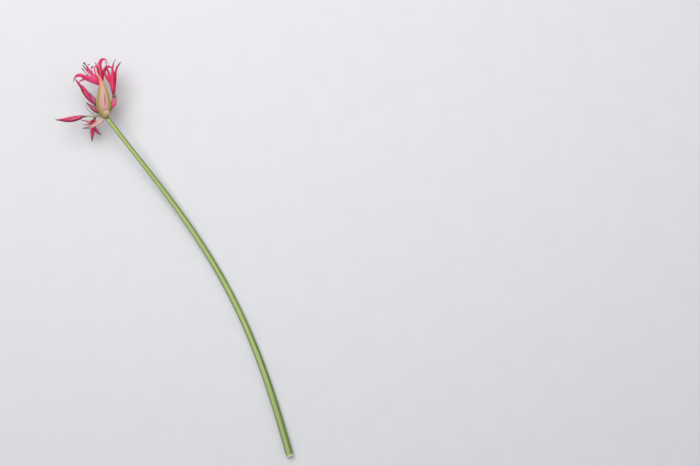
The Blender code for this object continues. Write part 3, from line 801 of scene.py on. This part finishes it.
for name, bloom in BUDS.items():
    bud = new_piece()
    grain = bud.verts.layers.float_vector["grain"]
    leaf = bud.verts.layers.float_vector["leaf"]
    along = Vector(bloom["axis"]).normalized()
    right = along.cross(UP).normalized()
    down = along.cross(right)
    bend = Vector(bloom.get("bend", (0, 0, 0))) * MM
    middle = Matrix.Translation((0, 0, 0.5))
    bmesh.ops.create_cone(
        bud, cap_ends=True, segments=BUD_SIDES, radius1=1, radius2=1, depth=1, matrix=middle
    )
    uprights = [edge for edge in bud.edges if abs(edge.verts[0].co.z - edge.verts[1].co.z) > 0.5]
    bmesh.ops.subdivide_edges(bud, edges=uprights, cuts=BUD_ROWS - 2)
    for vert in bud.verts:
        s = vert.co.z
        angle = math.atan2(vert.co.y, vert.co.x)
        full = math.sin(math.pi * min(1, s / BUD_BELLY_END) ** BUD_BELLY_SKEW)
        belly = BUD_ROOT_SHARE + (1 - BUD_ROOT_SHARE) * full
        share = max(BUD_TIP_SHARE, belly * (1 - s**BUD_BLUNTNESS) ** 0.7)
        girth = bloom["girth"] / 2 * MM * share
        turned = (angle + SEAM_TURN * s) % (2 * math.pi / BUD_RIDGES)
        past = turned - math.pi / BUD_RIDGES
        seam = math.exp(-((past / SEAM_WIDTH) ** 2)) * smooth_step(0.02, 0.12, s)
        lap = SEAM_LAP * smooth_step(0, 0.5, past) * smooth_step(1.0, 0.3, past) if past > 0 else 0
        ridge = BUD_RIDGE_HEIGHT * math.cos(BUD_RIDGES * angle) * math.sin(math.pi * s)
        girth *= 1 + ridge - SEAM_DEPTH * seam + lap
        side = right * math.cos(angle) + down * math.sin(angle)
        run = bloom["length"] * MM * s
        place = in_head(bloom["seat"]) + along * bloom["length"] * MM * s + bend * math.sin(math.pi * s)
        vert.co = place + side * girth
        vert[grain] = Vector((girth * math.cos(angle), girth * math.sin(angle), run))
        # leaf z marks one side of the bud, where the painted shade goes.
        vert[leaf] = Vector((seam, s, 0.8 * smooth_step(-0.15, 0.8, -math.cos(angle))))
    skin = bud_skin(name, **BUD_HUES[name])
    finish_piece(f"{name}_body", bud, skin, f"{name}_tepals")


# Spathe valves: the two bracts that held the young umbel. They clasp the neck of the scape and
# have dried to thin veined paper: the upper one still stands in front of the florets, pinkish in
# the middle with olive edges and a rounded lap at its foot, and the lower one is folded back.
VALVE_THICKNESS = 0.35 * MM
VALVE_ROWS = 80
VALVE_COLUMNS = 34
CREASE_HEIGHT = 0.5 * MM
FINE_CREASE_HEIGHT = 0.12 * MM
FRILL_HEIGHT = 0.35 * MM
VALVES = {
    "spathe_valve_upper": dict(
        spine=[(-0.4, -1.8, 5.0), (2.0, 18.3, 15.0), (22.6, 37.5, 14.0), (18.4, 62.9, 10.5)],
        width=22.0, base=0.42, belly=0.34, point=1.6, wrap_at_base=62, wrap_at_tip=40,
    ),
    "spathe_valve_lower": dict(
        spine=[(-4.6, -1.8, 0.6), (-12.7, -1.1, 4.4), (-25.7, -5.8, 2.6), (-39.6, 2.8, -4.0)],
        width=6.8, base=0.5, belly=0.33, point=0.9, wrap_at_base=50, wrap_at_tip=35,
    ),
}


def curve_point(spine, s):
    """A point at share s of the smooth curve that four spine points pull."""
    a, b, c, d = spine
    r = 1 - s
    return a * r**3 + b * 3 * r * r * s + c * 3 * r * s * s + d * s**3


def valve_share(valve, s):
    """Width of a valve at share s of its length, as a share of its widest."""
    if s <= valve["belly"]:
        return valve["base"] + (1 - valve["base"]) * math.sin(math.pi / 2 * s / valve["belly"])
    t = (s - valve["belly"]) / (1 - valve["belly"])
    return max(0.03, (1 - t) ** valve["point"] * (1 + valve["point"] * t * 0.45))


def valve_point(valve, spine, s, v, raised):
    """A point of a valve at share s of its length and v (-1 to 1) across, raised off its hollow side."""
    along = curve_point(spine, min(1, s + 0.01)) - curve_point(spine, max(0, s - 0.01))
    side = UP.cross(along).normalized()
    below = side.cross(along).normalized()
    opening = valve["wrap_at_tip"] - valve["wrap_at_base"]
    wrap = math.radians(valve["wrap_at_base"] + opening * s**0.6)
    radius = valve["width"] / 2 * MM * valve_share(valve, s) / math.sin(wrap)
    crease = CREASE_HEIGHT * math.sin(math.pi * s) * math.cos(1.5 * math.pi * v)
    crease += FINE_CREASE_HEIGHT * math.sin(math.pi * s) * math.sin(11 * v + 2 * s)
    frill = FRILL_HEIGHT * v**6 * math.sin(9 * math.pi * s + (0 if v > 0 else 2)) * math.sin(math.pi * s)
    drop = radius * (1 - math.cos(wrap * v)) + crease + frill - raised
    return curve_point(spine, s) + side * radius * math.sin(wrap * v) + below * drop


def valve_skin(name, middle, edge, foot, streak, tip, moss=0.0):
    """Dry paper: long veins, a dark keel, edges of their own colour, and a brown rim on the lap."""
    made, tree, grain, leaf = tissue(f"{name}_skin")
    across = maths(tree, "ABSOLUTE", maths(tree, "ADD", leaf[0], 0.05))
    veins = noise(tree, grain, (1500, 26, 900), 3)
    threads = noise(tree, grain, (5200, 40, 900), 2)
    crumple = noise(tree, grain, (320, 160, 900), 4)
    blotch = noise(tree, grain, (260, 60, 900), 3)
    inner = mixed(tree, rise(tree, veins, 0.45, 0.72, 0.75), middle, streak)
    ragged = maths(tree, "MULTIPLY_ADD", blotch, 0.2, across)
    edged = mixed(tree, rise(tree, ragged, 0.4, 0.66), inner, edge)
    beside = maths(tree, "ABSOLUTE", maths(tree, "ADD", leaf[0], 0.26))
    keel = maths(tree, "MULTIPLY", rise(tree, beside, 0.09, 0.01), rise(tree, leaf[1], 0.2, 0.36))
    keel = maths(tree, "MULTIPLY", keel, rise(tree, leaf[1], 0.62, 0.38))
    keeled = mixed(tree, keel, edged, shade(92, 48, 50))
    lined = mixed(tree, rise(tree, threads, 0.5, 0.75, 0.3), keeled, shade(226, 206, 160))
    rooted = mixed(tree, rise(tree, leaf[1], 0.22, 0.0, 0.85), lined, foot)
    margin = maths(tree, "MULTIPLY", rise(tree, leaf[0], 0.8, 0.95), rise(tree, leaf[1], 0.75, 0.5, 0.7))
    pared = mixed(tree, margin, rooted, shade(200, 164, 132))
    green = maths(tree, "MULTIPLY", rise(tree, leaf[0], 0.35, 0.6), rise(tree, leaf[1], 0.34, 0.2, moss))
    mossy = mixed(tree, green, pared, shade(138, 150, 50))
    tipped = mixed(tree, rise(tree, leaf[1], 0.58, 0.9, 0.9), mossy, tip)
    flap = ramp(
        tree, leaf[1], (0, foot), (0.3, shade(182, 146, 104)), (0.6, shade(224, 180, 162)),
        (0.86, shade(212, 162, 140)), (0.95, shade(150, 100, 58)), (1, shade(96, 58, 30)),
    )
    flap = mixed(tree, rise(tree, leaf[0], -0.1, 0.8, 0.75), flap, edge)
    lap = mixed(tree, rise(tree, threads, 0.45, 0.7, 0.4), flap, foot)
    lapped = mixed(tree, rise(tree, leaf[2], 1.4, 1.6), tipped, lap)
    lines = maths(tree, "MULTIPLY_ADD", threads, 0.4, veins)
    height = maths(tree, "MULTIPLY_ADD", crumple, 0.8, lines)
    roughness = maths(tree, "MULTIPLY_ADD", crumple, 0.3, 0.42)
    dress(
        tree, lapped, roughness, height, 0.16 * MM,
        {
            "Subsurface Weight": 0.3, "Subsurface Scale": 0.002, "Sheen Weight": 0.1,
            "Sheen Roughness": 0.5,
        },
    )
    return made


LAPS = {"spathe_valve_upper": dict(reach=0.2, width=0.8, middle=-0.24)}
LAP_ROWS = 22
LAP_COLUMNS = 30
LAP_GAP = 0.04 * MM
LAP_PUFF = 0.55 * MM
LAP_THICKNESS = 0.2 * MM


def lap_point(valve, spine, lap, s, v, face):
    """A point of the rounded flap that laps over a valve's foot, bowed a little off it."""
    reach = lap["reach"] * math.sqrt(max(0, 1 - (0.98 * v) ** 2))
    across = lap["middle"] + lap["width"] * v
    puff = LAP_PUFF * math.sin(math.pi * (0.06 + 0.86 * s)) * (1 - v * v)
    raised = VALVE_THICKNESS + LAP_GAP + puff + LAP_THICKNESS * face
    return valve_point(valve, spine, reach * s, across, raised)


VALVE_HUES = {
    "spathe_valve_upper": dict(
        middle=shade(200, 158, 155), edge=shade(158, 140, 68), foot=shade(134, 108, 56),
        streak=shade(162, 94, 98), tip=shade(226, 112, 76), moss=0.6,
    ),
    "spathe_valve_lower": dict(
        middle=shade(200, 168, 162), edge=shade(186, 142, 140), foot=shade(178, 150, 124),
        streak=shade(160, 100, 106), tip=shade(112, 56, 80),
    ),
}
for name, valve in VALVES.items():
    bract = new_piece()
    spine = [in_head(point) for point in valve["spine"]]
    add_blade(
        bract, VALVE_ROWS, VALVE_COLUMNS,
        lambda s, v, face: valve_point(valve, spine, s, v, VALVE_THICKNESS * face),
    )
    grain = bract.verts.layers.float_vector["grain"]
    leaf = bract.verts.layers.float_vector["leaf"]
    if name in LAPS:
        known = set(bract.verts)
        add_blade(
            bract, LAP_ROWS, LAP_COLUMNS,
            lambda s, v, face: lap_point(valve, spine, LAPS[name], s, v, face),
        )
        for vert in set(bract.verts) - known:
            vert[leaf].z += 2
    for vert in bract.verts:
        across, share, face = vert[leaf]
        reach = valve["width"] / 2 * MM * valve_share(valve, share) * across
        vert[grain] = Vector((reach, share * (spine[3] - spine[0]).length, 0.01 * face))
    finish_piece(f"{name}_bract", bract, valve_skin(name, **VALVE_HUES[name]), name)


# Bracteoles: limp, hair-thin threads that grow between the pedicels and curl out of the umbel.
# All their numbers are in millimetres.
BRACTEOLE_POINTS = 40
BRACTEOLE_ROOT = 0.38
BRACTEOLE_THINNING = 0.18
BRACTEOLES = (
    ((-3.4, 2.4, 1.8), (-9.0, 5.0, 2.0), (-20.0, 15.0, 6.0), (-17.8, 26.7, 4.0)),
    ((-3.8, 1.2, 1.6), (-10.0, 1.5, 1.8), (-18.0, 12.0, 7.0), (-14.5, 17.5, 6.0)),
    ((-3.2, 2.6, 0.4), (-9.0, 8.0, -3.5), (-15.0, 17.0, -9.0), (-20.0, 18.0, -22.0)),
)


def thread_skin():
    """Straw at the root, then a dull grey purple that darkens to the tip."""
    made, tree, grain, leaf = tissue("bracteole_skin")
    fibres = noise(tree, grain, (3000, 3000, 200), 2)
    plain = ramp(
        tree, leaf[1], (0, shade(166, 154, 122)), (0.3, shade(122, 104, 112)),
        (1, shade(86, 64, 74)),
    )
    colour = mixed(tree, rise(tree, fibres, 0.4, 0.7, 0.4), plain, shade(196, 178, 176))
    roughness = maths(tree, "MULTIPLY_ADD", fibres, 0.2, 0.5)
    dress(tree, colour, roughness, fibres, 0.04 * MM, {})
    return made


hairs = new_piece()
thinner = [BRACTEOLE_THINNING * i / (BRACTEOLE_POINTS - 1) for i in range(BRACTEOLE_POINTS)]
for points in BRACTEOLES:
    path = interpolate_bezier(*[in_head(point) for point in points], BRACTEOLE_POINTS)
    sweep(hairs, stations(path, [(BRACTEOLE_ROOT - less) * MM for less in thinner]), THREAD_SIDES)
finish_piece("bracteole_threads", hairs, thread_skin())


# The table that the stem lies on, plain and pale, with soft studio light from the side of the
# photograph's top edge. It isn't part of the object.
floor_bm = bmesh.new()
bmesh.ops.create_grid(floor_bm, x_segments=1, y_segments=1, size=4)
floor_mesh = bpy.data.meshes.new("table_top")
floor_bm.to_mesh(floor_mesh)
floor_bm.free()
floor = bpy.data.objects.new("table_top", floor_mesh)
bpy.context.scene.collection.objects.link(floor)
paper = bpy.data.materials.new("table_paper")
paper.use_nodes = True
place = node(paper.node_tree, "TexCoord", {}).outputs["Object"]
mottle = noise(paper.node_tree, place, (30, 30, 30), 4)
tint = mixed(paper.node_tree, mottle, shade(208, 208, 210), shade(214, 214, 217))
dullness = maths(paper.node_tree, "MULTIPLY_ADD", mottle, 0.1, 0.7)
dress(paper.node_tree, tint, dullness, mottle, 0.02 * MM, {})
floor_mesh.materials.append(paper)

SEEN_RIGHT = Vector((0.8825, -0.4704, 0))
SEEN_UP = Vector((0.4704, 0.8825, 0))
MIDDLE = Vector((0, 0, 0))


def soft_light(name, place, size, watts):
    """A square of soft light at that place, turned to the middle of the table."""
    lamp = bpy.data.lights.new(name, "AREA")
    lamp.size = size
    lamp.energy = watts
    made = bpy.data.objects.new(name, lamp)
    made.location = place
    made.rotation_euler = (MIDDLE - place).to_track_quat("-Z", "Y").to_euler()
    bpy.context.scene.collection.objects.link(made)


soft_light("window", SEEN_UP * 0.9 - SEEN_RIGHT * 0.4 + UP * 2.0, size=1.8, watts=48)
soft_light("fill", SEEN_RIGHT * 1.2 + SEEN_UP * 0.6 + UP * 1.5, size=1.6, watts=7)
sky = bpy.data.worlds.new("studio")
sky.use_nodes = True
sky.node_tree.nodes["Background"].inputs["Color"].default_value = shade(240, 242, 246)
sky.node_tree.nodes["Background"].inputs["Strength"].default_value = 0.36
bpy.context.scene.world = sky
bpy.context.scene.view_settings.view_transform = "Standard"


# Camera: it looks straight down, from where the photograph would show the stem in the same place.
FRAME_WIDTH = 994 * MM

# How far left of the frame's middle, and above it, the umbel shows, in millimetres.
UMBEL_LEFT = 345.9
UMBEL_ABOVE = 165.1
lens = bpy.data.cameras.new("camera")
lens.lens = 85
lens.sensor_width = 36
camera = bpy.data.objects.new("camera", lens)
height = FRAME_WIDTH * lens.lens / lens.sensor_width
camera.location = UMBEL + SEEN_RIGHT * UMBEL_LEFT * MM - SEEN_UP * UMBEL_ABOVE * MM + UP * height
camera.rotation_euler = (0, 0, math.atan2(SEEN_RIGHT.y, SEEN_RIGHT.x))
bpy.context.scene.collection.objects.link(camera)
bpy.context.scene.camera = camera
